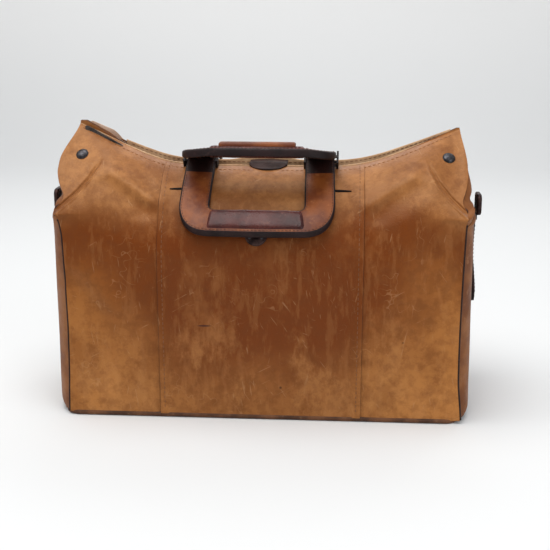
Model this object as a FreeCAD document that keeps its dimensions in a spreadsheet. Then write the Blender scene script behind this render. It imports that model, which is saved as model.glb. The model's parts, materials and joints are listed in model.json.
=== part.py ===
"""Leather doctor bag with a gabled top, two handles, a closing strap and an end strap at each side.

Millimetres, +Z up, front towards -Y. The origin is the centre of the base, on the floor.
"""
import FreeCAD
import Part
import math
import os

import Sketcher

doc = FreeCAD.newDocument("doctor_bag")
sheet = doc.addObject("Spreadsheet::Sheet", "Sheet")
Vector = FreeCAD.Vector
Rotation = FreeCAD.Rotation
Placement = FreeCAD.Placement

SIZES = {
    # body of the bag
    "half_width": 200, "half_depth": 86, "leather": 2.8, "seam_x": 100, "wall_gap": 0.2,
    "hinge_height": 200, "welt": 4, "welt_out": 1.5, "welt_height": 5, "base_up": 0,
    "post_out": 1, "post_in": 3, "gusset_out": 1, "gusset_bulge": 9, "board_thick": 3.5,
    "board_inset": 10, "lining_thick": 1.2, "lining_floor": 7, "lining_inset": 3.5, "lining_drop": 2,
    # sloping top: the shoulder is where the wall turns inwards, the crest is the edge of the mouth
    "shoulder_out_centre": 66, "shoulder_up_centre": 214, "mouth_half": 12, "crest_centre": 248,
    "shoulder_out_wing": 86, "shoulder_up_wing": 212, "wing_gap_half": 2, "crest_wing": 291,
    "rim_ratio": 1.2, "fold_ratio": 0.6,
    "facing_drop": 2.4, "facing_thick": 1.6, "facing_wide": 20, "bar_wide": 12, "bar_thick": 2,
    "bar_half": 96, "bar_inset": 3, "contact_gap": 0.1,
    # folded end of the mouth
    "tuck_in": 75, "tuck_rise": 42, "tuck_thick": 2.4, "tuck_half": 80, "tuck_gap": 1,
    # studs
    "stud_radius": 6.3, "stud_thick": 2.4, "stud_x": 185, "stud_share": 0.35, "stud_gap": 0.15,
    "dome_ratio": 0.6,
    # handles
    "handle_x": -4, "handle_half": 76.5, "handle_leg": 30, "handle_reach": 98, "handle_corner": 33,
    "corner_slack": 6, "handle_thick": 6, "handle_tail": 3.2, "bar_depth": 27, "grip_half": 46,
    "grip_thick": 13, "grip_rim": 5, "grip_shoulder": 4, "grip_edge": 1.5, "grip_lap": 1,
    "pivot_out": 19, "pivot_up": 254, "pin_radius": 1.6, "pin_play": 0.05,
    "ear_thick": 2, "ear_wide": 11, "ear_rise": 4, "ear_play": 0.5, "plate_thick": 1.5,
    "front_droop": 34, "rear_lift": 13,
    # closing strap and lock
    "strap_x": 3, "strap_half": 21, "strap_back": 20, "strap_front": 24, "strap_up": 249,
    "strap_thick": 2.2, "strap_dip": 3.6, "strap_bend": 1, "anchor_gap": 3, "anchor_long": 14,
    "anchor_rivet_out": 12, "lock_x": -4, "lock_radius": 10.5, "lock_top": 192, "lock_thick": 2,
    "lock_rivet_out": 6, "lock_rivet_down": 3.6, "rivet_radius": 2.2, "rivet_thick": 1.2,
    # strap and buckle at each end
    "tab_half": 10, "tab_low": 158, "tab_high": 194.5, "buckle_half": 13, "buckle_low": 199,
    "buckle_high": 221, "buckle_wire": 3.5, "buckle_thick": 5, "end_strap_half": 9,
    "end_strap_low": 106, "end_strap_high": 192, "end_strap_thick": 2.6, "end_strap_stand": 1.2,
    "end_gap": 0.5, "prong_half": 1.2, "hook_lap": 1,
}
OVER = 1        # how far a cutting box stands past what it cuts
SLICE = 20      # how far the box that slices an end wall stands past the bag's side
FORMULA_CELL = "D1"
for row, (alias, number) in enumerate(SIZES.items(), start=1):
    sheet.set(f"A{row}", alias)
    sheet.set(f"B{row}", str(number))
    sheet.setAlias(f"B{row}", alias)
doc.recompute()


def size(alias):
    """Value of one cell of the sheet."""
    return float(getattr(sheet, alias))


def bind(item, prop, formula):
    """Ties a property to a formula in which every word is an alias of the sheet."""
    item.setExpression(prop, linked(formula))


def linked(formula):
    """The formula with each alias written as Sheet.alias."""
    text = ""
    word = ""
    for sign in f"{formula} ":
        if sign.isalpha() or sign == "_":
            word += sign
            continue
        text += f"Sheet.{word}" if word in SIZES else word
        word = ""
        text += sign
    return text.strip()


def work_out(formula):
    """Number that a formula of aliases gives."""
    sheet.set(FORMULA_CELL, f"={formula}")
    sheet.recompute()
    answer = sheet.get(FORMULA_CELL)
    return float(getattr(answer, "Value", answer))


def new_body(name, placement=Placement()):
    body = doc.addObject("PartDesign::Body", name)
    body.Label = name
    body.Placement = placement
    return body


def new_sketch(body, plane, offset="0"):
    """Empty sketch on an origin plane of the body, moved along its normal by a formula."""
    sketch = body.newObject("Sketcher::SketchObject", f"{body.Name}_sketch")
    origin_plane = next(part for part in body.Origin.OriginFeatures if part.Role == plane)
    sketch.AttachmentSupport = [(origin_plane, "")]
    sketch.MapMode = "FlatFace"
    bind(sketch, "AttachmentOffset.Base.z", offset)
    return sketch


def pin_point(sketch, line, formula, direction):
    """Holds the start of a line at a formula's distance from the sketch's origin."""
    along_x = direction == "DistanceX"
    value = work_out(formula)
    if abs(value) < 1e-9:
        sketch.addConstraint(Sketcher.Constraint("PointOnObject", line, 1, -2 if along_x else -1))
        return
    name = f"{'x' if along_x else 'y'}{line}"
    index = sketch.addConstraint(Sketcher.Constraint(direction, -1, 1, line, 1, value))
    sketch.renameConstraint(index, name)
    bind(sketch, f"Constraints.{name}", formula)


def outline(body, plane, points, offset="0"):
    """Closed outline of straight lines whose corners are pairs of formulas."""
    sketch = new_sketch(body, plane, offset)
    spots = [Vector(work_out(x), work_out(y), 0) for x, y in points]
    count = len(spots)
    for i in range(count):
        sketch.addGeometry(Part.LineSegment(spots[i], spots[(i + 1) % count]), False)
    for i in range(count):
        sketch.addConstraint(Sketcher.Constraint("Coincident", i, 2, (i + 1) % count, 1))
    for i, (x, y) in enumerate(points):
        pin_point(sketch, i, x, "DistanceX")
        pin_point(sketch, i, y, "DistanceY")
    return sketch


def pad(body, sketch, length, midplane=False):
    feature = body.newObject("PartDesign::Pad", f"{body.Name}_pad")
    feature.Profile = sketch
    feature.SideType = "Symmetric" if midplane else "One side"
    bind(feature, "Length", length)
    return feature


def loft(body, sketches):
    feature = body.newObject("PartDesign::AdditiveLoft", f"{body.Name}_loft")
    feature.Profile = sketches[0]
    feature.Sections = sketches[1:]
    feature.Ruled = True
    return feature


def box(name, low, high):
    """Part::Box between two corners given as formulas."""
    item = doc.addObject("Part::Box", name)
    item.Label = name
    for prop, axis, a, b in zip(("Length", "Width", "Height"), "xyz", low, high):
        bind(item, prop, f"({b}) - ({a})")
        bind(item, f"Placement.Base.{axis}", a)
    return item


def rod(name, radius, length, placement):
    item = doc.addObject("Part::Cylinder", name)
    item.Label = name
    bind(item, "Radius", radius)
    bind(item, "Height", length)
    item.Placement = placement
    return item


def cut(name, base, tool):
    item = doc.addObject("Part::Cut", name)
    item.Label = name
    item.Base = base
    item.Tool = tool
    return item


def common(name, base, tool):
    item = doc.addObject("Part::Common", name)
    item.Label = name
    item.Base = base
    item.Tool = tool
    return item


def group(name, items):
    """One node made of several like solids."""
    item = doc.addObject("Part::Compound", name)
    item.Label = name
    item.Links = items
    return item


def domed(name, radius, thick, placement):
    """Round head with a softened rim, standing on its flat face."""
    disc = rod(f"{name}_disc", radius, thick, placement)
    doc.recompute()
    rim = max(range(1, len(disc.Shape.Edges) + 1), key=lambda i: rim_height(disc, i))
    head = doc.addObject("Part::Fillet", name)
    head.Base = disc
    soft = size("dome_ratio") * work_out(thick)
    head.Edges = [(rim, soft, soft)]
    return head


def rim_height(disc, index):
    """How far an edge lies along the disc's own axis; straight edges count as lowest."""
    edge = disc.Shape.Edges[index - 1]
    if not isinstance(edge.Curve, Part.Circle):
        return -1
    axis = disc.Placement.Rotation.multVec(Vector(0, 0, 1))
    return (edge.Curve.Center - disc.Placement.Base).dot(axis)


nodes = []


def keep(item):
    nodes.append(item)
    return item


# ---------------------------------------------------------------- lower part, which stands still
def base_pieces():
    ring_outer = box("base_welt_outer", ("-half_width - welt_out", "-half_depth - welt_out", "0"),
                     ("half_width + welt_out", "half_depth + welt_out", "welt_height"))
    ring_inner = box("base_welt_inner", ("-half_width + welt", "-half_depth + welt", f"-{OVER}"),
                     ("half_width - welt", "half_depth - welt", f"welt_height + {OVER}"))
    keep(cut("base_welt", ring_outer, ring_inner))
    keep(box("base_panel", ("-half_width + welt", "-half_depth + welt", "base_up"),
             ("half_width - welt", "half_depth - welt", "base_up + board_thick")))
    keep(box("base_board",
             ("-half_width + board_inset", "-half_depth + board_inset", "base_up + board_thick"),
             ("half_width - board_inset", "half_depth - board_inset", "lining_floor")))


def lower_walls(side, turn):
    """Three wall panels of one long side, below the fold."""
    spans = {"left": ("-half_width + leather + wall_gap", "-seam_x"), "centre": ("-seam_x", "seam_x"),
             "right": ("seam_x", "half_width - leather - wall_gap")}
    for part, (start, end) in spans.items():
        front = turn == 0
        low_y, high_y = (("-half_depth", "-half_depth + leather") if front
                         else ("half_depth - leather", "half_depth"))
        keep(box(f"{side}_{part}_wall", (start, low_y, "welt_height"), (end, high_y, "hinge_height")))


def corner_welts():
    posts = []
    for x_low, x_high in (("-half_width - post_out", "-half_width + post_in"),
                          ("half_width - post_in", "half_width + post_out")):
        for y_low, y_high in (("-half_depth - post_out", "-half_depth + post_in"),
                              ("half_depth - post_in", "half_depth + post_out")):
            posts.append(box(f"welt_{len(posts)}", (x_low, y_low, "welt_height"),
                             (x_high, y_high, "hinge_height - post_out")))
    keep(group("corner_welts", posts))


def gusset(side, sign):
    """Bulging end wall: a slice of a wide cylinder."""
    reach = work_out("half_depth - post_in")
    bulge = size("gusset_bulge")
    radius = (reach ** 2 + bulge ** 2) / (2 * bulge)
    centre = sign * (size("half_width") + size("gusset_out") + bulge - radius)
    stand = Placement(Vector(centre, 0, size("welt_height")), Rotation())
    span = "(half_depth - post_in)"
    arc = f"({span} * {span} + gusset_bulge * gusset_bulge) / (2 * gusset_bulge)"
    height = "hinge_height - welt_height"
    skin = cut(f"{side}_skin", rod(f"{side}_outside", arc, height, stand),
               rod(f"{side}_inside", f"{arc} - leather", height, stand))
    low, high = (("half_width - leather", f"half_width + {SLICE}") if sign > 0
                 else (f"-half_width - {SLICE}", "-half_width + leather"))
    slice_box = box(f"{side}_slice", (low, "-half_depth + post_in", "welt_height"),
                    (high, "half_depth - post_in", "hinge_height"))
    keep(common(f"{side}_gusset", skin, slice_box))


def lining():
    wide, deep = "(half_width - lining_inset)", "(half_depth - lining_inset)"
    outer = box("lining_outer", (f"-{wide}", f"-{deep}", "lining_floor"),
                (wide, deep, "hinge_height - lining_drop"))
    inner = box("lining_inner",
                (f"-{wide} + lining_thick", f"-{deep} + lining_thick", "lining_floor + lining_thick"),
                (f"{wide} - lining_thick", f"{deep} - lining_thick", "hinge_height"))
    keep(cut("lining", outer, inner))


def tuck(side, sign):
    """Triangle of the end wall that folds in under the sloping top."""
    rise = math.atan2(size("tuck_rise"), size("tuck_in"))
    corner = Vector(sign * work_out("half_width - tuck_gap"), 0,
                    work_out("hinge_height + tuck_gap"))
    turn = Rotation(Vector(0, 1, 0), math.degrees(rise) * sign)
    if sign < 0:
        turn = turn.multiply(Rotation(Vector(0, 0, 1), 180))
    body = new_body(f"{side}_tuck", Placement(corner, turn))
    depth = "sqrt(tuck_in * tuck_in + tuck_rise * tuck_rise)"
    sketch = outline(body, "XY_Plane", [("0", "-tuck_half"), ("0", "tuck_half"), (f"-{depth}", "0")])
    pad(body, sketch, "tuck_thick")
    keep(body)


# ---------------------------------------------------------------- sloping top, one half per side
def section(share):
    """Corners of the top's cross-section, from 0 at the centre panel to 1 at the end of the wing."""
    def between(a, b):
        return f"({a} + ({b} - {a}) * {share})"
    return (between("shoulder_out_centre", "shoulder_out_wing"),
            between("shoulder_up_centre", "shoulder_up_wing"),
            between("mouth_half", "wing_gap_half"), between("crest_centre", "crest_wing"))


def skin_corners(share):
    out, up, mouth, crest = section(share)
    return [("-half_depth", "hinge_height"), (f"-{out}", up), (f"-{mouth}", crest),
            (f"-{mouth}", f"{crest} - rim_ratio * leather"),
            (f"-{out} + leather", f"{up} - fold_ratio * leather"),
            ("-half_depth + leather", "hinge_height")]


def strip_corners(share, inset, wide, drop, thick):
    """Strip under the skin, beside the mouth: inset from the edge, so wide, at such a depth."""
    out, up, mouth, crest = section(share)
    fall = f"(({crest} - {up}) / ({out} - {mouth}))"
    top = f"{crest} - rim_ratio * leather - {drop}"
    near, far = inset, f"({inset} + {wide})"
    return [(f"-{mouth} - {near}", f"{top} - {near} * {fall}"),
            (f"-{mouth} - {far}", f"{top} - {far} * {fall}"),
            (f"-{mouth} - {far}", f"{top} - {far} * {fall} - {thick}"),
            (f"-{mouth} - {near}", f"{top} - {near} * {fall} - {thick}")]


def turned(turn):
    return Placement(Vector(), Rotation(Vector(0, 0, 1), turn))


def named_end(part, turn):
    """Left and right as seen from the front, also for pieces built turned half round."""
    if turn and part in ("left", "right"):
        return "right" if part == "left" else "left"
    return part


def top_panels(side, turn):
    stations = {"left": (("-half_width", 1), ("-seam_x", 0)), "centre": (("-seam_x", 0), ("seam_x", 0)),
                "right": (("seam_x", 0), ("half_width", 1))}
    for part, ends in stations.items():
        body = new_body(f"{side}_{named_end(part, turn)}_top", turned(turn))
        loft(body, [outline(body, "YZ_Plane", skin_corners(share), x) for x, share in ends])
        keep(body)


def facing_and_bar(side, turn):
    facing = new_body(f"{side}_facing", turned(turn))
    ends = (("-half_width", 1), ("-seam_x", 0), ("seam_x", 0), ("half_width", 1))
    loft(facing, [outline(facing, "YZ_Plane",
                          strip_corners(share, "0", "facing_wide", "facing_drop", "facing_thick"), x)
                  for x, share in ends])
    keep(facing)
    bar = new_body(f"{side}_frame_bar", turned(turn))
    shape = strip_corners(0, "bar_inset", "bar_wide", "contact_gap", "bar_thick")
    pad(bar, outline(bar, "YZ_Plane", shape), "2 * bar_half", midplane=True)
    keep(bar)


def slope_spot(x, share_down):
    """Point and outward normal of the front slope at x, a share of the way down from the crest."""
    def at(px):
        share = (abs(px) - size("seam_x")) / work_out("half_width - seam_x")
        out, up, mouth, crest = (work_out(text) for text in section(max(share, 0)))
        top, low = Vector(px, -mouth, crest), Vector(px, -out, up)
        return top + (low - top) * share_down, low - top
    point, down = at(x)
    beside, _ = at(x + math.copysign(1, x))
    along = (beside - point) * math.copysign(1, x)
    return point, down.cross(along).normalize()


def wing_studs(side, turn):
    heads = []
    for sign in (-1, 1):
        point, normal = slope_spot(sign * size("stud_x"), size("stud_share"))
        if normal.z < 0:
            normal = -normal
        stand = Placement(point + normal * size("stud_gap"), Rotation(Vector(0, 0, 1), normal))
        heads.append(domed(f"{side}_stud_{'left' if sign < 0 else 'right'}", "stud_radius",
                           "stud_thick", turned(turn).multiply(stand)))
    keep(group(f"{side}_wing_studs", heads))


def slope_angle():
    """Angle of the centre slope below the horizontal, in degrees."""
    return math.degrees(math.atan2(work_out("crest_centre - shoulder_up_centre"),
                                   work_out("shoulder_out_centre - mouth_half")))


def pivot(turn):
    """Centre of a handle's hinge line."""
    spot = turned(turn).multVec(Vector(0, -size("pivot_out"), size("pivot_up")))
    return spot + Vector(size("handle_x"), 0, 0)


def handle_brackets(side, turn):
    """A pair of forked brackets on the slope, with their pins."""
    tilt = Rotation(Vector(1, 0, 0), slope_angle())
    fall = math.tan(math.radians(slope_angle()))
    surface = size("crest_centre") - (size("pivot_out") - size("mouth_half")) * fall
    height = ((size("pivot_up") - surface) * math.cos(math.radians(slope_angle()))
              - size("contact_gap"))
    forks, pins = [], []
    for sign in (-1, 1):
        leg = sign * work_out("handle_half - handle_leg / 2") + size("handle_x") * (-1 if turn else 1)
        spot = turned(turn).multiply(Placement(Vector(leg, -size("pivot_out"), size("pivot_up")), tilt))
        body = new_body(f"{side}_fork_{'left' if sign < 0 else 'right'}", spot)
        inside = "(handle_leg / 2 + ear_play)"
        across = f"({inside} + ear_thick)"
        foot = f"-{height:.3f}"
        sketch = outline(body, "XZ_Plane", [
            (f"-{across}", foot), (across, foot), (across, "ear_rise"), (inside, "ear_rise"),
            (inside, f"{foot} + plate_thick"), (f"-{inside}", f"{foot} + plate_thick"),
            (f"-{inside}", "ear_rise"), (f"-{across}", "ear_rise")])
        pad(body, sketch, "ear_wide", midplane=True)
        hole = new_sketch(body, "YZ_Plane")
        hole.addGeometry(Part.Circle(Vector(), Vector(0, 0, 1), size("pin_radius")), False)
        hole.addConstraint(Sketcher.Constraint("Coincident", 0, 3, -1, 1))
        hole.addConstraint(Sketcher.Constraint("Radius", 0, size("pin_radius")))
        hole.renameConstraint(1, "bore")
        bind(hole, "Constraints.bore", "pin_radius")
        bore = body.newObject("PartDesign::Pocket", f"{body.Name}_bore")
        bore.Profile = hole
        bore.Type = "ThroughAll"
        bore.SideType = "Symmetric"
        forks.append(body)
        half = work_out(across)
        lie = Placement(Vector(-half, 0, 0), Rotation(Vector(0, 0, 1), Vector(1, 0, 0)))
        pins.append(rod(f"{side}_pin_{'left' if sign < 0 else 'right'}", "pin_radius",
                        f"2 * {across}", spot.multiply(lie)))
    keep(group(f"{side}_handle_brackets", forks))
    keep(group(f"{side}_handle_pins", pins))


# ---------------------------------------------------------------- handles
def handle(side, turn, placement):
    """U-shaped leather handle with a padded grip, lying in its own XY plane from the pivot to -Y."""
    loop = new_body(f"{side}_handle_loop", placement)
    inner = "(handle_half - handle_leg)"
    low = "-handle_reach"
    bend = "(handle_reach - handle_corner)"
    shelf = "-(handle_reach - bar_depth)"
    sketch = outline(loop, "XY_Plane", [
        ("-handle_half", "handle_tail"), ("-handle_half", f"-{bend}"), (f"-{inner} - corner_slack", low),
        (f"{inner} + corner_slack", low), ("handle_half", f"-{bend}"), ("handle_half", "handle_tail"),
        (inner, "handle_tail"), (inner, shelf), (f"-{inner}", shelf), (f"-{inner}", "handle_tail")])
    pad(loop, sketch, "handle_thick", midplane=True)
    hole = new_sketch(loop, "YZ_Plane")
    hole.addGeometry(Part.Circle(Vector(), Vector(0, 0, 1), work_out("pin_radius + pin_play")), False)
    hole.addConstraint(Sketcher.Constraint("Coincident", 0, 3, -1, 1))
    hole.addConstraint(Sketcher.Constraint("Radius", 0, work_out("pin_radius + pin_play")))
    hole.renameConstraint(1, "bore")
    bind(hole, "Constraints.bore", "pin_radius + pin_play")
    bore = loop.newObject("PartDesign::Pocket", f"{side}_handle_bore")
    bore.Profile = hole
    bore.Type = "ThroughAll"
    bore.SideType = "Symmetric"
    keep(loop)

    grip = new_body(f"{side}_grip", placement)
    half, core = "grip_thick / 2", "handle_thick / 2"
    near, far = "(handle_reach - bar_depth)", "(handle_reach - grip_rim)"
    shape = [(f"-{far}", core), (f"-{far}", f"{half} - grip_edge"), (f"-{far} + grip_shoulder", half),
             (f"-{near} - grip_shoulder", half), (f"-{near} + grip_lap", core),
             (f"-{near} + grip_lap", f"-{core}"), (f"-{near} - grip_shoulder", f"-{half}"),
             (f"-{far} + grip_shoulder", f"-{half}"), (f"-{far}", f"-{half} + grip_edge"),
             (f"-{far}", f"-{core}"), (f"-{near}", f"-{core}"), (f"-{near}", core)]
    pad(grip, outline(grip, "YZ_Plane", shape), "2 * grip_half", midplane=True)
    keep(grip)


# ---------------------------------------------------------------- closing strap and lock
def closing_strap():
    strap = new_body("closing_strap", Placement(Vector(size("strap_x"), 0, 0), Rotation()))
    under, over = "strap_up", "(strap_up + strap_thick)"
    shape = [("strap_back", under), ("strap_back", over), ("-mouth_half - strap_bend", over),
             ("-strap_front", f"{over} - strap_dip"), ("-strap_front", f"{under} - strap_dip"),
             ("-mouth_half - strap_bend", under)]
    pad(strap, outline(strap, "YZ_Plane", shape), "2 * strap_half", midplane=True)
    keep(strap)

    fall = math.tan(math.radians(slope_angle()))
    start = work_out("strap_back + anchor_gap")
    height = size("crest_centre") - (start - size("mouth_half")) * fall
    spot = Placement(Vector(size("strap_x"), start, height + size("contact_gap")),
                     Rotation(Vector(1, 0, 0), -slope_angle()))
    anchor = new_body("strap_anchor", spot)
    shape = [("0", "0"), ("anchor_long", "0"), ("anchor_long", "strap_thick"), ("0", "strap_thick")]
    pad(anchor, outline(anchor, "YZ_Plane", shape), "2 * strap_half", midplane=True)
    keep(anchor)
    rivets = [domed(f"anchor_rivet_{i}", "rivet_radius", "rivet_thick",
                    spot.multiply(Placement(Vector(x, work_out("anchor_long / 2"),
                                                   work_out("strap_thick")), Rotation())))
              for i, x in enumerate((-size("anchor_rivet_out"), size("anchor_rivet_out")))]
    keep(group("anchor_rivets", rivets))


def lock():
    body = new_body("lock_plate", Placement(Vector(size("lock_x"), -size("half_depth"), 0), Rotation()))
    sketch = new_sketch(body, "XZ_Plane")
    radius = size("lock_radius")
    middle = work_out("lock_top")
    sketch.addGeometry(Part.ArcOfCircle(Part.Circle(Vector(0, middle, 0), Vector(0, 0, 1), radius),
                                        math.pi, 2 * math.pi), False)
    sketch.addGeometry(Part.LineSegment(Vector(radius, middle, 0), Vector(-radius, middle, 0)), False)
    sketch.addConstraint(Sketcher.Constraint("Coincident", 0, 2, 1, 1))
    sketch.addConstraint(Sketcher.Constraint("Coincident", 0, 1, 1, 2))
    sketch.addConstraint(Sketcher.Constraint("Horizontal", 1))
    sketch.addConstraint(Sketcher.Constraint("PointOnObject", 0, 3, -2))
    sketch.addConstraint(Sketcher.Constraint("PointOnObject", 0, 3, 1))
    across = sketch.addConstraint(Sketcher.Constraint("Radius", 0, radius))
    sketch.renameConstraint(across, "curve")
    bind(sketch, "Constraints.curve", "lock_radius")
    rise = sketch.addConstraint(Sketcher.Constraint("DistanceY", -1, 1, 0, 3, middle))
    sketch.renameConstraint(rise, "rise")
    bind(sketch, "Constraints.rise", "lock_top")
    pad(body, sketch, "lock_thick")
    keep(body)
    outwards = Rotation(Vector(0, 0, 1), Vector(0, -1, 0))
    face = -work_out("half_depth + lock_thick")
    heads = []
    for i, x in enumerate((-size("lock_rivet_out"), size("lock_rivet_out"))):
        spot = Vector(size("lock_x") + x, face, work_out("lock_top - lock_rivet_down"))
        heads.append(domed(f"lock_rivet_{i}", "rivet_radius", "rivet_thick", Placement(spot, outwards)))
    keep(group("lock_rivets", heads))


# ---------------------------------------------------------------- strap and buckle at each end
def spread(sign, near, far):
    """Range along X on one end of the bag, low formula first."""
    return (near, far) if sign > 0 else (f"-({far})", f"-({near})")


def end_hardware(side, sign):
    wall = "half_width + gusset_out + gusset_bulge"
    tab_in, tab_out = spread(sign, f"{wall} + contact_gap", f"{wall} + contact_gap + leather")
    keep(box(f"{side}_end_tab", (tab_in, "-tab_half", "tab_low"), (tab_out, "tab_half", "tab_high")))

    strap_near = f"{wall} + contact_gap + leather + end_strap_stand"
    strap_far = f"{strap_near} + end_strap_thick"
    frame_near = f"{strap_far} + end_gap"
    frame_far = f"{frame_near} + buckle_thick"
    low_x, high_x = spread(sign, frame_near, frame_far)
    frame_outer = box(f"{side}_frame_outer", (low_x, "-buckle_half", "buckle_low"),
                      (high_x, "buckle_half", "buckle_high"))
    frame_inner = box(f"{side}_frame_inner",
                      (f"{low_x} - {OVER}", "-buckle_half + buckle_wire", "buckle_low + buckle_wire"),
                      (f"{high_x} + {OVER}", "buckle_half - buckle_wire", "buckle_high - buckle_wire"))
    keep(cut(f"{side}_buckle", frame_outer, frame_inner))
    keep(box(f"{side}_buckle_prong", (low_x, "-prong_half", "buckle_low + buckle_wire"),
             (high_x, "prong_half", "buckle_high - buckle_wire")))
    hook_low, hook_high = spread(sign, f"{wall} + contact_gap", f"{frame_near} + hook_lap")
    keep(box(f"{side}_buckle_loop", (hook_low, "-buckle_half + buckle_wire + hook_lap", "tab_high"),
             (hook_high, "buckle_half - buckle_wire - hook_lap", "buckle_low")))

    strap_low, _ = spread(sign, strap_near, strap_far)
    body = new_body(f"{side}_end_strap")
    tip = "(end_strap_low + end_strap_half / 2)"
    sketch = outline(body, "YZ_Plane", [
        ("-end_strap_half", "end_strap_high"), ("-end_strap_half", tip),
        ("-end_strap_half / 2", "end_strap_low"), ("end_strap_half / 2", "end_strap_low"),
        ("end_strap_half", tip), ("end_strap_half", "end_strap_high")], strap_low)
    pad(body, sketch, "end_strap_thick")
    keep(body)


base_pieces()
for side_name, half_turn in (("front", 0), ("back", 180)):
    lower_walls(side_name, half_turn)
    top_panels(side_name, half_turn)
    facing_and_bar(side_name, half_turn)
    wing_studs(side_name, half_turn)
    handle_brackets(side_name, half_turn)
corner_welts()
lining()
for side_name, outward in (("left", -1), ("right", 1)):
    gusset(side_name, outward)
    tuck(side_name, outward)
    end_hardware(side_name, outward)
closing_strap()
lock()
droop = Rotation(Vector(1, 0, 0), size("front_droop"))
lift = Rotation(Vector(1, 0, 0), -size("rear_lift"))
handle("front", 0, Placement(pivot(0), droop))
handle("rear", 0, Placement(pivot(180), lift))
doc.recompute()

for item in doc.Objects:
    if "Invalid" in item.State or "Error" in item.State:
        raise RuntimeError(f"{item.Name} failed: {item.State}")
for item in nodes:
    if item.Shape.isNull() or not item.Shape.isValid() or item.Shape.Volume < 1:
        raise RuntimeError(f"{item.Label} has no valid solid")
os.makedirs("parts", exist_ok=True)
for item in nodes:
    item.Shape.exportStep(f"parts/{item.Label}.step")
    bounds = item.Shape.BoundBox
    print(f"{item.Label:26s} {item.Shape.Volume:10.0f} x {bounds.XMin:7.1f} {bounds.XMax:7.1f} "
          f"y {bounds.YMin:7.1f} {bounds.YMax:7.1f} z {bounds.ZMin:7.1f} {bounds.ZMax:7.1f}")
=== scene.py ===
"""Worn tan leather doctor bag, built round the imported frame. Metres, +Z up, front towards -Y."""
import json
from math import copysign, cos, exp, hypot, log, pi, radians, sin, sqrt

import bmesh
import bpy
import numpy as np
from mathutils import Matrix, Vector, noise


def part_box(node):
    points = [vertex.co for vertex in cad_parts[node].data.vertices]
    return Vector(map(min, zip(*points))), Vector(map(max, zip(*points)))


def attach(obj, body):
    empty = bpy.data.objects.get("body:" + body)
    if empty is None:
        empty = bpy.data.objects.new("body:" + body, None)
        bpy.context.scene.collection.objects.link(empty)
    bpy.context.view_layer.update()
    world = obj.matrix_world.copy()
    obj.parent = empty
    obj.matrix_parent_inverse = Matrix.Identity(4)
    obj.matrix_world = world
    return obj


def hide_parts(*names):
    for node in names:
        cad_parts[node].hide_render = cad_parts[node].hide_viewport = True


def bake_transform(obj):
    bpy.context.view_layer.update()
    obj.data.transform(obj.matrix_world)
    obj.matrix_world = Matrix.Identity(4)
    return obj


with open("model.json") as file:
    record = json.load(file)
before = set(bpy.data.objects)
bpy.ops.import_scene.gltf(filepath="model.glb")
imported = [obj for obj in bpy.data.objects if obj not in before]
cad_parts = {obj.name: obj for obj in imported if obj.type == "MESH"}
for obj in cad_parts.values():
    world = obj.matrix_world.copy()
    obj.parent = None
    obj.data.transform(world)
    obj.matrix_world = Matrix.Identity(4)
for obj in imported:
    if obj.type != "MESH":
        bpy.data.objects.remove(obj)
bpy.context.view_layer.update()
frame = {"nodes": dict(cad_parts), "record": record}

MM = 0.001

# ------------------------------------------------------------------ sizes taken from the frame
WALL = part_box("front_centre_wall")
SEAM_X = WALL[1].x                                   # half width of the middle panel
DEPTH = -WALL[0].y                                   # the long walls' distance from the middle
HINGE_Z = WALL[1].z                                  # height of the fold
CREST_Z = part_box("front_centre_top")[1].z            # edge of the mouth between the wings
MOUTH = -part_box("front_centre_top")[1].y             # half the gap of the mouth
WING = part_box("front_right_top")
HALF_X, WING_Z = WING[1].x, WING[1].z
RIVET_RADIUS, STUD_RADIUS = 0.0022, 0.0063
SKIN = 0.0024                                        # thickness of the side panels' leather
PINCHED_GAP = 0.0022                                 # half the gap of the mouth at the wings
TURN_IN_Z, FOLD_Z = 0.163, 0.2095                    # where the wall starts to turn in, and the wing's fold
BELLY = 0.0028                                       # how far the filled wall stands out
GRIP_REACH = 0.0826                                  # the grip's middle, from the handle's pivot
SLIT_DROP = 0.0178                                   # the slits' distance below the mouth's edge
FINE_THREAD = 0.32 * MM
JOINTS = {joint["name"]: joint for joint in frame["record"]["behaviour"]["joints"]}


# ------------------------------------------------------------------ mesh helpers
def new_object(name, points, faces, materials=(), smooth=True):
    mesh = bpy.data.meshes.new(name)
    mesh.from_pydata([tuple(p) for p in points], [], [tuple(f) for f in faces])
    mesh.update()
    item = bpy.data.objects.new(name, mesh)
    bpy.context.scene.collection.objects.link(item)
    for material in materials:
        mesh.materials.append(material)
    if smooth:
        mesh.polygons.foreach_set("use_smooth", [True] * len(mesh.polygons))
    return item


def remember_rest(item):
    """Keeps each point's place at rest, which the materials read, so that they bend with the piece."""
    mesh = item.data
    places = np.array([v.co for v in mesh.vertices], dtype=np.float32).reshape(-1)
    attribute = mesh.attributes.get("rest") or mesh.attributes.new("rest", "FLOAT_VECTOR", "POINT")
    attribute.data.foreach_set("vector", places)
    return item


def apply_modifiers(item):
    graph = bpy.context.evaluated_depsgraph_get()
    made = bpy.data.meshes.new_from_object(item.evaluated_get(graph))
    old = item.data
    item.modifiers.clear()
    item.data = made
    bpy.data.meshes.remove(old)
    made.name = item.name
    return item


def fix_normals(item):
    """Turns every face outwards."""
    work = bmesh.new()
    work.from_mesh(item.data)
    bmesh.ops.recalc_face_normals(work, faces=work.faces)
    work.to_mesh(item.data)
    work.free()
    return item


def placed(item, slot, body, *nodes):
    """Hides the CAD nodes that a piece replaces and hangs the piece on the body that it rides on; the slot
    argument is not used.
    """
    if nodes:
        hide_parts(*nodes)
    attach(item, body)
    return item


def solidified(item, thick, offset):
    solid = item.modifiers.new("thickness", "SOLIDIFY")
    solid.thickness = thick
    solid.offset = offset
    return solid


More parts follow.
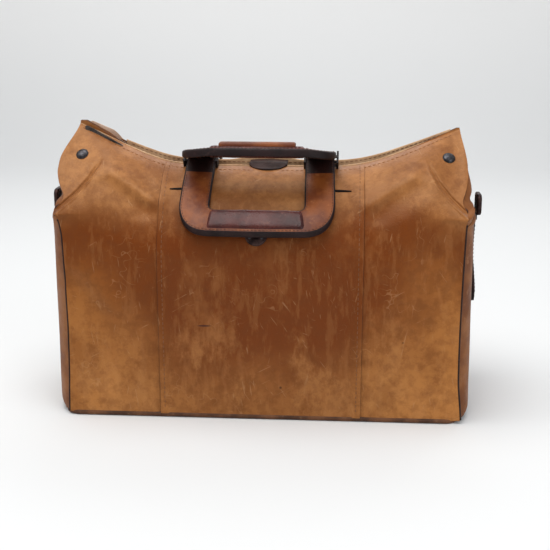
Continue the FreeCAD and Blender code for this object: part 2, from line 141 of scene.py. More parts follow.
def spaced(loop, pitch):
    """Closed line with points no further apart than about a pitch."""
    dense = []
    for i, a in enumerate(loop):
        b = loop[(i + 1) % len(loop)]
        count = max(int((b - a).length / pitch), 1)
        dense += [a.lerp(b, k / count) for k in range(count)]
    return dense


def capped_faces(rows, around):
    """Faces of a tube of rings, closed at both ends."""
    return grid_faces(rows, around, closed_columns=True) + [
        tuple(range(around)), tuple((rows - 1) * around + k for k in reversed(range(around)))]


def grid_faces(rows, columns, closed_rows=False, closed_columns=False):
    faces = []
    for r in range(rows if closed_rows else rows - 1):
        for c in range(columns if closed_columns else columns - 1):
            r2, c2 = (r + 1) % rows, (c + 1) % columns
            faces.append((r * columns + c, r * columns + c2, r2 * columns + c2, r2 * columns + c))
    return faces


def sheet_of(name, points, rows, columns, thick, materials, bevel=0.0007, inward=1):
    """Thick sheet from a grid of points on its outer face, with softened edges."""
    item = new_object(name, points, grid_faces(rows, columns), materials)
    solid = solidified(item, thick, -inward)
    solid.use_even_offset = False
    if len(materials) > 1:
        solid.material_offset_rim = 1
    if bevel:
        soft = item.modifiers.new("edges", "BEVEL")
        soft.width = bevel
        soft.segments = 2
        soft.limit_method = "ANGLE"
        soft.angle_limit = radians(60)
    apply_modifiers(item)
    fix_normals(item)
    item.data.polygons.foreach_set("use_smooth", [True] * len(item.data.polygons))
    return remember_rest(item)


def sweep(name, path, profile, material, closed=False, up=Vector((0, 0, 1))):
    """Skin over a closed profile carried along a path; profile(i) gives (side, up) pairs."""
    count = len(path)
    points = []
    for i, place in enumerate(path):
        ahead = path[(i + 1) % count] if closed or i < count - 1 else place
        behind = path[i - 1] if closed or i else place
        along = (ahead - behind).normalized()
        side = along.cross(up).normalized()
        top = side.cross(along)
        points += [place + side * a + top * b for a, b in profile(i)]
    around = len(points) // count
    faces = grid_faces(count, around, True, True) if closed else capped_faces(count, around)
    item = new_object(name, points, faces, [material])
    return remember_rest(fix_normals(item))


def rounded(half_a, half_b, corner, steps=4):
    """Rounded rectangle outline."""
    outline = []
    for quarter in range(4):
        ca = (half_a - corner) * (1 if quarter in (0, 3) else -1)
        cb = (half_b - corner) * (1 if quarter in (0, 1) else -1)
        for k in range(steps + 1):
            angle = pi / 2 * (quarter + k / steps)
            outline.append((ca + corner * cos(angle), cb + corner * sin(angle)))
    return outline


def lathe(name, profile, material, place, axis, around=32):
    """Round piece from (radius, height) pairs, standing at place along axis."""
    turn = axis.to_track_quat("Z", "Y")
    points = []
    for radius, height in profile:
        for k in range(around):
            angle = 2 * pi * k / around
            points.append(place + turn @ Vector((radius * cos(angle), radius * sin(angle), height)))
    item = new_object(name, points, capped_faces(len(profile), around), [material])
    return remember_rest(fix_normals(item))


def join(name, items):
    """One object from several."""
    bpy.ops.object.select_all(action="DESELECT")
    for item in items:
        item.select_set(True)
    bpy.context.view_layer.objects.active = items[0]
    bpy.ops.object.join()
    items[0].name = name
    items[0].data.name = name
    return items[0]


def stitches(name, lines, material, length=3.4 * MM, gap=1.5 * MM, radius=0.42 * MM, lift=0.15 * MM):
    """Rows of thread; each line is a list of (point, normal) pairs close together."""
    points, faces = [], []
    ring = 6
    for line in lines:
        places = [p for p, _ in line]
        steps = [0.0]
        for a, b in zip(places, places[1:]):
            steps.append(steps[-1] + (b - a).length)

        def at(distance):
            k = min(max(int(np.searchsorted(steps, distance)) - 1, 0), len(places) - 2)
            share = (distance - steps[k]) / max(steps[k + 1] - steps[k], 1e-9)
            return places[k].lerp(places[k + 1], share), line[k][1].lerp(line[k + 1][1], share)

        start = gap / 2
        while start + length < steps[-1]:
            (a, na), (b, nb) = at(start), at(start + length)
            along = (b - a).normalized()
            normal = (na + nb).normalized()
            side = along.cross(normal).normalized()
            first = len(points)
            for share, size, dip in ((0, 0.3, 1.0), (0.12, 0.85, 0.3), (0.5, 1, 0), (0.88, 0.85, 0.3),
                                     (1, 0.3, 1.0)):
                centre = a.lerp(b, share) + normal * (lift - dip * radius * 1.2)
                for k in range(ring):
                    angle = 2 * pi * k / ring
                    points.append(centre + side * (radius * 1.15 * size * cos(angle))
                                  + normal * (radius * size * sin(angle)))
            for r in range(4):
                for k in range(ring):
                    k2 = (k + 1) % ring
                    faces.append((first + r * ring + k, first + r * ring + k2,
                                  first + (r + 1) * ring + k2, first + (r + 1) * ring + k))
            faces.append(tuple(first + k for k in reversed(range(ring))))
            faces.append(tuple(first + 4 * ring + k for k in range(ring)))
            start += length + gap
    return remember_rest(fix_normals(new_object(name, points, faces, [material])))


# ------------------------------------------------------------------ materials
def node(tree, kind, **settings):
    """Shader node with its properties and socket values or links set by name."""
    made = tree.nodes.new("ShaderNode" + kind)
    for key, value in settings.items():
        if hasattr(made, key):
            setattr(made, key, value)
            continue
        socket = made.inputs[int(key[1:])] if key[0] == "i" and key[1:].isdigit() else made.inputs[key]
        if isinstance(value, bpy.types.NodeSocket):
            tree.links.new(value, socket)
        else:
            socket.default_value = value
    return made


def mixed(tree, share, a, b, mode="MIX"):
    """Colour mix; a and b are sockets or (r, g, b)."""
    made = node(tree, "Mix", data_type="RGBA", blend_type=mode)
    for index, value in ((0, share), (6, a), (7, b)):
        if isinstance(value, bpy.types.NodeSocket):
            tree.links.new(value, made.inputs[index])
        else:
            made.inputs[index].default_value = (*value, 1) if isinstance(value, tuple) else value
    return made.outputs[2]


def ramp(tree, source, low, high, out_low=0.0, out_high=1.0):
    """Smooth step of a value between two limits."""
    made = node(tree, "MapRange", interpolation_type="SMOOTHSTEP", i0=source)
    for index, value in ((1, low), (2, high), (3, out_low), (4, out_high)):
        made.inputs[index].default_value = value
    return made.outputs[0]


def sums(tree, operation, a, b=0.5, clamp=False):
    made = node(tree, "Math", operation=operation, use_clamp=clamp)
    for index, value in ((0, a), (1, b)):
        if isinstance(value, bpy.types.NodeSocket):
            tree.links.new(value, made.inputs[index])
        else:
            made.inputs[index].default_value = value
    return made.outputs[0]


def noise_of(tree, where, scale, detail=4.0, rough=0.55, stretch=None, turn=0.0, shift=(0, 0, 0)):
    vector = where
    if turn:
        vector = node(tree, "Mapping", Vector=vector, Rotation=(0, turn, 0)).outputs[0]
    if stretch or any(shift):
        vector = node(tree, "Mapping", Vector=vector, Scale=stretch or (1, 1, 1),
                      Location=shift).outputs[0]
    made = node(tree, "TexNoise", Vector=vector, Scale=scale, Detail=detail, Roughness=rough)
    return made.outputs[0]


def start_material(name, carried):
    """Material, its tree, its shader and the place of a point at rest; carried is for CAD nodes."""
    material = bpy.data.materials.new(name)
    material.use_nodes = True
    tree = material.node_tree
    shader = tree.nodes["Principled BSDF"]
    if carried:
        where = node(tree, "TexCoord").outputs["Object"]
    else:
        where = node(tree, "Attribute", attribute_name="rest").outputs["Vector"]
    return material, tree, shader, where


def times(tree, a, b):
    return sums(tree, "MULTIPLY", a, b)


def tinted(tree, colour, share, amount, paint):
    """Colour with paint over it where share is high, up to amount."""
    return mixed(tree, times(tree, share, amount), colour, paint)


def grain_bump(tree, shader, where, strength, pore=950.0, fold=170.0):
    """Fine pores, short wrinkles and broad unevenness of old leather."""
    pores = node(tree, "TexVoronoi", feature="SMOOTH_F1", Vector=where, Scale=pore)
    wrinkles = noise_of(tree, where, fold, 5, 0.65)
    broad = noise_of(tree, where, 28, 3, 0.5)
    height = sums(tree, "MULTIPLY_ADD", wrinkles, 0.9)
    tree.links.new(times(tree, pores.outputs[0], 0.35), height.node.inputs[2])
    height = sums(tree, "ADD", height, times(tree, broad, 1.6))
    bump = node(tree, "Bump", Height=height, Strength=strength, Distance=0.0009)
    tree.links.new(bump.outputs[0], shader.inputs["Normal"])


def plain_leather(name, base, dark, light, rough, coat, bump, carried=False, scale=1.0, gloss=0.3):
    """Leather of one colour with mottling, rubbed lights and fine grain."""
    material, tree, shader, where = start_material(name, carried)
    patches = ramp(tree, noise_of(tree, where, 22 * scale, 5, 0.6), 0.35, 0.68)
    colour = mixed(tree, patches, dark, base)
    rubbed = ramp(tree, noise_of(tree, where, 75 * scale, 6, 0.7), 0.56, 0.74)
    colour = tinted(tree, colour, rubbed, 0.5, light)
    tree.links.new(colour, shader.inputs["Base Color"])
    tree.links.new(ramp(tree, noise_of(tree, where, 60, 4), 0.3, 0.7, rough - 0.08, rough + 0.1),
                   shader.inputs["Roughness"])
    shader.inputs["Specular IOR Level"].default_value = gloss
    shader.inputs["Coat Weight"].default_value = coat
    shader.inputs["Coat Roughness"].default_value = 0.22
    grain_bump(tree, shader, where, bump)
    return material


def worn_tan(name, seed):
    """The walls' tan leather: pale sloping top, dark middle band, rubbed edges, scratches and spots."""
    material, tree, shader, where = start_material(name, False)
    shift = (seed * 3.1, seed * 1.7, seed * 2.3)
    parts = node(tree, "SeparateXYZ", Vector=where)
    across, up = parts.outputs[0], parts.outputs[2]
    side = sums(tree, "ABSOLUTE", across)
    wander = sums(tree, "SUBTRACT", noise_of(tree, where, 9, 4, 0.6, shift=shift), 0.5)
    level = sums(tree, "ADD", up, times(tree, wander, 0.085))
    low_tan, band, high_tan = (0.43, 0.178, 0.052), (0.15, 0.033, 0.0045), (0.275, 0.108, 0.034)
    lifted = sums(tree, "ADD", level, ramp(tree, side, 0.125, 0.06, 0.0, 0.035))
    colour = mixed(tree, ramp(tree, lifted, 0.015, 0.135), low_tan, band)
    colour = mixed(tree, ramp(tree, level, 0.188, 0.228), colour, high_tan)
    rim = times(tree, ramp(tree, side, HALF_X - 0.085, HALF_X - 0.004), ramp(tree, level, 0.2, 0.11))
    colour = tinted(tree, colour, rim, 0.7, (0.43, 0.17, 0.044))
    middle = times(tree, ramp(tree, side, 0.112, 0.085), ramp(tree, level, 0.235, 0.185))
    colour = tinted(tree, colour, middle, 0.3, (0.115, 0.024, 0.007))
    blotch = ramp(tree, noise_of(tree, where, 17, 8, 0.68, shift=shift), 0.46, 0.59)
    colour = tinted(tree, colour, blotch, 0.4, (0.13, 0.032, 0.006))
    cloud = ramp(tree, noise_of(tree, where, 13, 9, 0.72, stretch=(1.3, 1.3, 0.7), shift=(seed, 5, seed)),
                 0.49, 0.62)
    calm = times(tree, ramp(tree, level, 0.07, 0.13), ramp(tree, level, 0.235, 0.19))
    share = sums(tree, "SUBTRACT", 0.42, times(tree, calm, 0.3))
    colour = tinted(tree, colour, cloud, share, (0.46, 0.2, 0.066))
    mottle = ramp(tree, noise_of(tree, where, 95, 8, 0.7, shift=shift), 0.44, 0.6)
    colour = tinted(tree, colour, mottle, 0.3, (0.12, 0.033, 0.009))
    strokes = ramp(tree, noise_of(tree, where, 30, 6, 0.65, stretch=(4, 4, 0.8), shift=shift), 0.52, 0.63)
    colour = tinted(tree, colour, strokes, 0.13, (0.46, 0.2, 0.07))
    for turn, scale, low, amount in ((0.5, 34, 0.675, 0.3), (-0.95, 42, 0.68, 0.3), (1.35, 30, 0.68, 0.3),
                                     (-0.3, 60, 0.68, 0.22), (1.75, 48, 0.67, 0.3)):
        lines = noise_of(tree, where, scale, 3, 0.5, stretch=(1, 1, 13), turn=turn, shift=shift)
        here = noise_of(tree, where, 25, 2, shift=(seed + turn, 0, turn))
        marks = times(tree, ramp(tree, lines, low, low + 0.05), ramp(tree, here, 0.5, 0.6))
        colour = tinted(tree, colour, marks, amount, (0.48, 0.27, 0.13))
    for scale, amount, mark in ((62, 0.2, (0.56, 0.3, 0.14)), (44, 0.2, (0.09, 0.022, 0.008))):
        crossing = sums(tree, "SUBTRACT", noise_of(tree, where, scale, 1, shift=shift), 0.5)
        crossing = sums(tree, "ABSOLUTE", crossing)
        here = noise_of(tree, where, 20, 2, shift=(scale, seed, 0))
        curls = times(tree, ramp(tree, crossing, 0.009, 0.002), ramp(tree, here, 0.58, 0.66))
        colour = tinted(tree, colour, curls, amount, mark)
    scuff = node(tree, "VectorMath", operation="LENGTH",
                 i0=node(tree, "Mapping", Vector=where, Location=(6.1, 0, -79.0),
                         Scale=(110, 0, 800)).outputs[0]).outputs[1]
    colour = mixed(tree, times(tree, ramp(tree, scuff, 1.0, 0.4), 0.85), colour, (0.03, 0.012, 0.014))
    specks = node(tree, "TexVoronoi", Vector=where, Scale=46.0)
    spots = times(tree, ramp(tree, specks.outputs[0], 0.075, 0.045),
                 ramp(tree, noise_of(tree, where, 15, 2, shift=shift), 0.55, 0.6))
    colour = tinted(tree, colour, spots, 0.7, (0.035, 0.01, 0.006))
    tree.links.new(colour, shader.inputs["Base Color"])
    gloss = ramp(tree, noise_of(tree, where, 34, 5, 0.6, shift=shift), 0.3, 0.72, 0.29, 0.46)
    tree.links.new(gloss, shader.inputs["Roughness"])
    shader.inputs["Specular IOR Level"].default_value = 0.28
    shader.inputs["Specular Tint"].default_value = (1.0, 0.7, 0.42, 1)
    grain_bump(tree, shader, where, 0.42)
    return material


def fabric(name, base, dark):
    material, tree, shader, where = start_material(name, False)
    weave = node(tree, "TexWave", Vector=where, Scale=420.0, Distortion=0.6)
    weft = node(tree, "TexWave", bands_direction="Z", Vector=where, Scale=420.0, Distortion=0.6)
    cloth = times(tree, weave.outputs[1], weft.outputs[1])
    stain = ramp(tree, noise_of(tree, where, 14, 5, 0.6), 0.42, 0.7)
    colour = mixed(tree, times(tree, stain, 0.6), base, dark)
    tree.links.new(colour, shader.inputs["Base Color"])
    shader.inputs["Roughness"].default_value = 0.9
    bump = node(tree, "Bump", Height=cloth, Strength=0.35, Distance=0.0004)
    tree.links.new(bump.outputs[0], shader.inputs["Normal"])
    return material


def metal(name, base, dark, rough, carried=False):
    """Darkened steel with worn, tarnished patches."""
    material, tree, shader, where = start_material(name, carried)
    tarnish = ramp(tree, noise_of(tree, where, 190, 6, 0.65), 0.38, 0.66)
    tree.links.new(mixed(tree, tarnish, base, dark), shader.inputs["Base Color"])
    tree.links.new(ramp(tree, noise_of(tree, where, 320, 5), 0.3, 0.7, rough, rough + 0.25),
                   shader.inputs["Roughness"])
    shader.inputs["Metallic"].default_value = 0.9
    bump = node(tree, "Bump", Height=noise_of(tree, where, 900, 4), Strength=0.12,
                Distance=0.0003)
    tree.links.new(bump.outputs[0], shader.inputs["Normal"])
    return material


TAN_FRONT = worn_tan("tan_leather_front", 1.0)
TAN_BACK = worn_tan("tan_leather_back", 4.0)
EDGE = plain_leather("cut_edge", (0.075, 0.026, 0.012), (0.03, 0.011, 0.006), (0.2, 0.09, 0.04),
                     0.65, 0.0, 0.5, scale=2, gloss=0.2)
BROWN = plain_leather("brown_leather", (0.265, 0.098, 0.028), (0.15, 0.045, 0.011), (0.4, 0.19, 0.08),
                      0.52, 0.0, 0.5, gloss=0.2)
WELT = plain_leather("welt_leather", (0.034, 0.013, 0.008), (0.014, 0.006, 0.004), (0.11, 0.065, 0.045),
                     0.6, 0.0, 0.5, scale=2, gloss=0.2)
BASE = plain_leather("base_edge", (0.15, 0.062, 0.028), (0.06, 0.026, 0.014), (0.3, 0.16, 0.085),
                     0.6, 0.0, 0.5, scale=2, gloss=0.2)
LEG = plain_leather("handle_leather", (0.235, 0.066, 0.015), (0.105, 0.022, 0.006), (0.42, 0.165, 0.06),
                    0.4, 0.03, 0.4, scale=1.6, gloss=0.22)
# painted shade: near-black leather on the flat faces of the handles' legs by their pivots, standing in for
# the shade under the rear handle and on its underside
LEG_END_SHADE = plain_leather("handle_end_painted_shade", (0.022, 0.008, 0.007), (0.01, 0.004, 0.004),
                        (0.07, 0.03, 0.022), 0.5, 0.04, 0.4, scale=1.6, gloss=0.2)
HANDLE_EDGE = plain_leather("handle_edge", (0.017, 0.006, 0.006), (0.008, 0.003, 0.003),
                            (0.06, 0.028, 0.024), 0.55, 0.0, 0.4, scale=2, gloss=0.22)
GRIP = plain_leather("grip_leather", (0.085, 0.019, 0.015), (0.034, 0.008, 0.008), (0.24, 0.095, 0.06),
                     0.3, 0.08, 0.45, scale=1.8, gloss=0.22)
STRAP = plain_leather("strap_leather", (0.034, 0.013, 0.01), (0.015, 0.006, 0.005), (0.12, 0.055, 0.035),
                      0.6, 0.0, 0.45, scale=2, gloss=0.12)
FACING = plain_leather("facing_leather", (0.6, 0.39, 0.22), (0.44, 0.25, 0.13), (0.72, 0.54, 0.37),
                       0.6, 0.0, 0.4, scale=2)
PALE = plain_leather("pale_facing", (0.6, 0.42, 0.31), (0.42, 0.27, 0.19), (0.74, 0.58, 0.46),
                     0.6, 0.0, 0.4, scale=2)
GREY_BAND = plain_leather("grey_band", (0.085, 0.07, 0.062), (0.035, 0.03, 0.028), (0.19, 0.16, 0.145),
                          0.8, 0.0, 0.9, scale=4, gloss=0.15)
THREAD = plain_leather("thread", (0.235, 0.098, 0.042), (0.15, 0.06, 0.024), (0.36, 0.18, 0.085),
                       0.7, 0.0, 0.3, scale=6)
HEM_THREAD = plain_leather("hem_thread", (0.34, 0.155, 0.066), (0.24, 0.1, 0.04), (0.44, 0.23, 0.11),
                           0.7, 0.0, 0.3, scale=6)
DARK_THREAD = plain_leather("dark_thread", (0.095, 0.036, 0.018), (0.05, 0.018, 0.01),
                            (0.17, 0.08, 0.045), 0.7, 0.0, 0.3, scale=6)
# painted shade: near-black strips laid on the wall where the slits' openings show dark
SLIT_SHADE = plain_leather("slit_painted_shade", (0.006, 0.005, 0.005), (0.004, 0.003, 0.003), (0.02, 0.014, 0.012),
                     0.8, 0.0, 0.3, gloss=0.1)
CANVAS = fabric("lining_cloth", (0.62, 0.55, 0.43), (0.36, 0.28, 0.19))
STEEL = metal("gunmetal", (0.075, 0.073, 0.08), (0.022, 0.02, 0.022), 0.28)
BRONZE = metal("dark_bronze", (0.06, 0.034, 0.03), (0.02, 0.012, 0.012), 0.36)
STEEL_CAD = metal("gunmetal_cad", (0.045, 0.04, 0.04), (0.014, 0.012, 0.012), 0.5, carried=True)
BROWN_CAD = plain_leather("brown_leather_cad", (0.13, 0.055, 0.028), (0.06, 0.025, 0.014),
                          (0.25, 0.13, 0.07), 0.55, 0.05, 0.5, carried=True)
STRAP_CAD = plain_leather("strap_leather_cad", (0.034, 0.013, 0.01), (0.015, 0.006, 0.005),
                          (0.12, 0.055, 0.035), 0.5, 0.03, 0.45, carried=True, scale=2, gloss=0.22)


# ------------------------------------------------------------------ shape of the long sides
CREASE = [Vector((0.2025, 0.2085)), Vector((0.1835, 0.2247)), Vector((0.1716, 0.2382)),
          Vector((0.1635, 0.2516)), Vector((0.16, 0.261))]   # (x, z) of the pinched fold by each wing
RIDGE = [Vector((0.19, 0.172)), Vector((0.162, 0.14)),
         Vector((0.135, 0.102))]                                # soft ridge on the front's left panel
FAN = [Vector((0.16, 0.254)), Vector((0.121, 0.23)), Vector((0.094, 0.211))]   # soft ridge beside it


def smooth(low, high, value):
    t = min(max((value - low) / (high - low), 0.0), 1.0)
    return t * t * (3 - 2 * t)


def hump(distance, wide):
    """1 on a line, falling softly to nothing a few widths away."""
    return exp(-(distance / wide) ** 2)


def across(c, columns):
    """Place of a column from -1 to 1."""
    return -1 + 2 * c / (columns - 1)


def wing_share(x):
    """0 over the middle panel, 1 at the wing's end, with a soft start."""
    t = max(abs(x) - SEAM_X, 0.0) / (HALF_X - SEAM_X)
    soft = 0.06
    return t * t / (2 * soft) if t < soft else t - soft / 2


def crest(x, turn=0):
    """Height of the mouth's edge: level in the middle, rising softly to the wings, higher at the left one."""
    soft = 0.013
    run = soft * log(1 + exp((abs(x) - SEAM_X) / soft)) / (HALF_X - SEAM_X)
    right = (x < 0) if turn else (x > 0)
    return CREST_Z + (WING_Z - CREST_Z) * min(run, 1.0) * (0.925 if right else 1.02)


def mouth(x):
    """Half the gap of the mouth: open in the middle, pinched at the wings."""
    return MOUTH + (PINCHED_GAP - MOUTH) * smooth(0.0, 1.0, wing_share(x))


def beside(line_points, x, z):
    """Signed distance from a line of (x, z) points, positive on the middle's side, and how far along."""
    place = Vector((abs(x), z))
    best, sign, way = 1e9, 1.0, 0.0
    run = 0.0
    total = sum((b - a).length for a, b in zip(line_points, line_points[1:]))
    for a, b in zip(line_points, line_points[1:]):
        line = b - a
        t = min(max((place - a).dot(line) / line.length_squared, 0.0), 1.0)
        distance = (place - a - line * t).length
        if distance < best:
            best = distance
            sign = 1.0 if line.x * (place.y - a.y) - line.y * (place.x - a.x) > 0 else -1.0
            way = (run + line.length * t) / total
        run += line.length
    return best * sign, way


def outside(x, z, turn):
    """Distance of the long side's outer face from the middle plane, at rest."""
    seed = 4.0 if turn else 1.0
    top, gap = crest(x, turn), mouth(x)
    share = min(wing_share(x), 1.0)
    start = TURN_IN_Z + 0.027 * smooth(0.05, 0.75, share)
    rise = min(max((z - start) / (top - start), 0.0), 1.0)
    power = 0.62 + 0.03 * share
    rounded_off = gap + (DEPTH - gap) * (1 - rise * rise) ** power
    slant = min(max((z - FOLD_Z) / (top - FOLD_Z), 0.0), 1.0)
    flat = gap + (DEPTH - gap) * (1 - slant)
    depth = rounded_off
    if z > 0.16:
        away, way = beside(CREASE, x, z)
        puffed = smooth(-0.002, 0.03, away)
        weight = 1 - smooth(0.4, 0.95, share) * (1 - puffed)
        depth = flat + (rounded_off - flat) * weight
        start_in = smooth(0.195, 0.207, z)
        fade = (1 - smooth(0.7, 1.0, way)) * start_in
        depth += 0.0034 * fade * hump(away, 0.0075 if away > 0 else 0.0011)
        depth += 0.0012 * fade * hump(away, 0.0012)
        depth -= 0.003 * fade * hump(away + 0.0028, 0.0015)
        away, way = beside(FAN, x, z)
        fade = start_in * smooth(0.0, 0.2, way) * (1 - smooth(0.75, 1.0, way))
        depth += 0.004 * fade * hump(away, 0.0065)
        depth -= 0.0032 * fade * hump(away - 0.014, 0.009)
    if x < -SEAM_X and not turn:
        away, way = beside(RIDGE, x, z)
        fade = smooth(0.0, 0.25, way) * (1 - smooth(0.75, 1.0, way))
        depth += fade * (0.0024 * hump(away, 0.01) - 0.0014 * hump(away - 0.018, 0.01))
    # the wall bellies between base and fold, and is uneven from use
    belly = sin(pi * min(z / 0.2, 1.0)) * (1 - (abs(x) / HALF_X) ** 4)
    depth += BELLY * belly
    where = Vector((x * 9 + seed, z * 9, seed * 2))
    depth += (noise.noise(where) * 0.0019 + noise.noise(where * 2.7) * 0.0009
              + noise.noise(where * 6.5) * 0.0004) * smooth(0, 0.03, z)
    return depth


def edge_x(z, left):
    """The side panels' outer limit at one end: a slight waist, a pinch above the fold, and a wing that
    spreads and draws in again to its corner."""
    waist = sin(pi * min(max(z, 0.0) / 0.2, 1.0))
    if left:
        spread, close, flare = 0.0084, 0.0145, 0.0036
        narrow = 0.003 * (1 - smooth(0.185, 0.212, z)) + 0.0026 * waist
    else:
        spread, close, flare = 0.0044, 0.0062, 0.0022
        narrow = 0.0018 * waist - 0.003 * (1 - smooth(0.0, 0.05, z))
    x = HALF_X - 0.0015 - narrow + spread * smooth(0.224, 0.248, z) - close * smooth(0.254, 0.293, z)
    return x + flare * hump(z - 0.213, 0.0055) - 0.0022 * hump(z - 0.2235, 0.006)


PANELS = ("left", "centre", "right")


def side_point(x, z, turn, proud=0.0):
    point = Vector((x, -(outside(x, z, turn) + proud), z))
    return Vector((-point.x, -point.y, point.z)) if turn else point


def side_normal(x, z, turn):
    step = 0.0012
    over = side_point(x + step, z, turn) - side_point(x - step, z, turn)
    rise = side_point(x, z + step, turn) - side_point(x, z - step, turn)
    return over.cross(rise).normalized()


def heights(x, turn, count, bottom=0.0035, fine_top=0.0):
    """Heights spaced along the surface from the base to the mouth, closer together above the fold."""
    top = crest(x, turn)
    fine = np.linspace(bottom, top, 420)
    depth = np.array([outside(x, z, turn) for z in fine])
    pace = 1 + fine_top * (fine[1:] > HINGE_Z)
    run = np.concatenate([[0], np.cumsum(np.hypot(np.diff(fine), np.diff(depth)) * pace)])
    return np.interp(np.linspace(0, run[-1], count), run, fine)


def panel_proud(name, x):
    """The middle panel laps over its neighbours with a raised, turned edge."""
    from_seam = abs(x) - SEAM_X
    if name == "centre":
        return 0.0009 * smooth(-0.0075, -0.0055, from_seam) + 0.0002
    return -0.0006 * (1 - smooth(0.001, 0.008, from_seam))


def long_side(side, turn, material):
    for name in PANELS:
        middle = name == "centre"
        left = (name == "left") != bool(turn)
        columns, rows = (84, 130) if middle else (88, 190)
        points = [None] * (rows * columns)
        for c in range(columns):
            share = c / (columns - 1)
            levels = heights(panel_x(name, share, left), turn, rows, fine_top=0 if middle else 2.2)
            for r, z in enumerate(levels):
                x = panel_x(name, share, left, z)
                points[r * columns + c] = side_point(x, z, turn, panel_proud(name, x))
        label = name if not turn else {"left": "right", "right": "left", "centre": "centre"}[name]
        item = sheet_of(f"{side}_{label}_leather", points, rows, columns, SKIN, [material, EDGE])
        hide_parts(f"{side}_{label}_wall", f"{side}_{label}_top")
        bend(item)


def panel_x(name, share, left, z=0.25):
    """Place across the side of a column of a panel; side panels have closer columns by the wing's fold."""
    if name == "centre":
        return (SEAM_X + 0.0016) * (2 * share - 1)
    if name == "left":
        return -panel_x("right", 1 - share, left, z)
    coarse, reach = 0.32, 0.55
    if share < coarse:
        eased = share / coarse * reach
    else:
        eased = reach + (share - coarse) / (1 - coarse) * (1 - reach)
    near = SEAM_X - 0.0012
    return near + (edge_x(z, left) - near) * eased


def bend(item):
    """Bakes the world transform of a piece of the long side into its mesh."""
    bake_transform(item)


def seam_stitches(side, turn):
    lines = []
    for sign in (-1, 1):
        x = sign * (SEAM_X - 0.0032)
        lines.append([(side_point(x, z, turn, 0.0011), side_normal(x, z, turn))
                      for z in heights(x, turn, 90, 0.01)])
    item = stitches(f"{side}_seam_thread", lines, THREAD, radius=FINE_THREAD)
    bend(item)
    hem = [(side_point(x, crest(x, turn) - 0.0023, turn, 0.0002),
            side_normal(x, crest(x, turn) - 0.0043, turn)) for x in np.linspace(-0.19, 0.19, 200)]
    edge = stitches(f"{side}_hem_thread", [hem], HEM_THREAD, radius=0.28 * MM)
    placed(edge, "leather_tan", f"{side}_jaw")


# ------------------------------------------------------------------ mouth: facing strips
def strip_inside(name, turn, xs, top, drop, gap, thick, materials, ends=0.0, arch=0.0):
    """Upright strip beside the mouth: top above the crest, drop tall, gap in from the mouth's edge, and
    arched over the closing strap's root."""
    strap_low, strap_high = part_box("closing_strap")
    strap_x, reach = (strap_low.x + strap_high.x) / 2 - 0.002, 0.045
    flip = -1 if turn else 1
    rows = 6
    points = []
    for r in range(rows):
        down = r / (rows - 1)
        for x in xs:
            near_end = min(abs(x - xs[0]), abs(x - xs[-1])) / ends if ends else 1.0
            close = 1 - sqrt(max(1 - (1 - min(near_end, 1.0)) ** 2, 0.0))
            tall = drop * (1 - 0.85 * close)
            wave = 0.0006 * sin(x * 61 + 2 * turn) + 0.0004 * sin(x * 143)
            y = -(mouth(flip * x) + gap) + wave * down
            raised = arch * (0.5 + 0.5 * cos(pi * min(abs(x - strap_x) / reach, 1.0)))
            z = crest(x) + top + raised - drop * 0.5 * close - tall * down
            points.append(Vector((x, flip * y, z)))
    item = sheet_of(name, points, rows, len(xs), thick, materials, bevel=0.0004, inward=-flip)
    placed(item, "lining_cream", "back_jaw" if turn else "front_jaw")
    return item


def facing(side, turn):
    """Bands that hem the mouth and stand a little above it."""
    flip = -1 if turn else 1
    xs = np.linspace(-0.1925, 0.1925, 150)
    band = strip_inside(f"{side}_facing_band", turn, xs, 0.0009, 0.0125, -0.0004, 0.0015, [FACING])
    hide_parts(f"{side}_facing")
    lower, upper = (-0.1465, 0.188) if turn else (-0.188, 0.1)
    span = np.linspace(lower, upper, 130)
    strip_inside(f"{side}_facing_overlay", turn, span, 0.0034 if turn else 0.0006, 0.0082, -0.0021, 0.0024,
                 [FACING], arch=0.005 if turn else 0.0)
    rows = []
    for level in (0.0012, -0.0018) if turn else (-0.0022,):
        rows.append([(Vector((x, flip * -(mouth(x) - 0.0047), crest(x) + level)), Vector((0, flip, 0)))
                     for x in span[2:-2]])
    thread = stitches(f"{side}_facing_thread", rows, THREAD, radius=FINE_THREAD)
    placed(thread, "lining_cream", f"{side}_jaw")


def wing_strip(name, jaw, ends, top, low, depth, material):
    """Flat strip along the left wing's edge; top and low give its height about the crest, share by share."""
    rows, columns = 7, 60
    points = []
    for r in range(rows):
        for c in range(columns):
            u = c / (columns - 1)
            x = ends[0] + (ends[1] - ends[0]) * u
            level = top(u) + (low(u) - top(u)) * r / (rows - 1)
            wave = 0.0004 * sin(x * 170) + 0.0003 * sin(x * 61 + level * 300)
            points.append(Vector((x, depth(x) + wave, crest(x) + level)))
    strip = sheet_of(name, points, rows, columns, 0.0014, [material], bevel=0.0004, inward=1)
    placed(strip, "lining_cream", jaw)


def wing_strips():
    """Pale strip with a round end behind the left wing's edge, and a dark grey lens-shaped strip before it.
    """
    def rounded_end(u, reach):
        return sqrt(1 - (1 - min(u / reach, 1.0)) ** 2)

    wing_strip("wing_pale_strip", "back_jaw", (-0.1865, -0.144),
               lambda u: -0.003 + 0.0105 * rounded_end(u, 0.16) * (1 - smooth(0.6, 1.0, u)) ** 0.7,
               lambda u: -0.0035 - 0.0045 * rounded_end(u, 0.1), lambda x: mouth(x) - 0.0005, PALE)
    wing_strip("wing_grey_strip", "front_jaw", (-0.187, -0.146),
               lambda u: 0.0024 * rounded_end(u, 0.1) * (1 - u) ** 0.5 - 0.0004,
               lambda u: -0.0006 - 0.0056 * rounded_end(u, 0.1) * (1 - u) ** 1.5,
               lambda x: -outside(x, crest(x) - 0.001, 0) - 0.0014, GREY_BAND)


# ------------------------------------------------------------------ ends
def fold_in(place, apex, sign, q, share):
    """Place carried a share q of the way to the fold's inner corner, swelling outwards before it turns in."""
    moved = place.lerp(apex, q)
    moved.x = place.x + (apex.x - place.x) * q * q
    moved.x += sign * (0.0128 if sign > 0 else 0.0078) * sin(pi * min(1.6 * q, 1.0)) ** 0.7 * share
    return moved


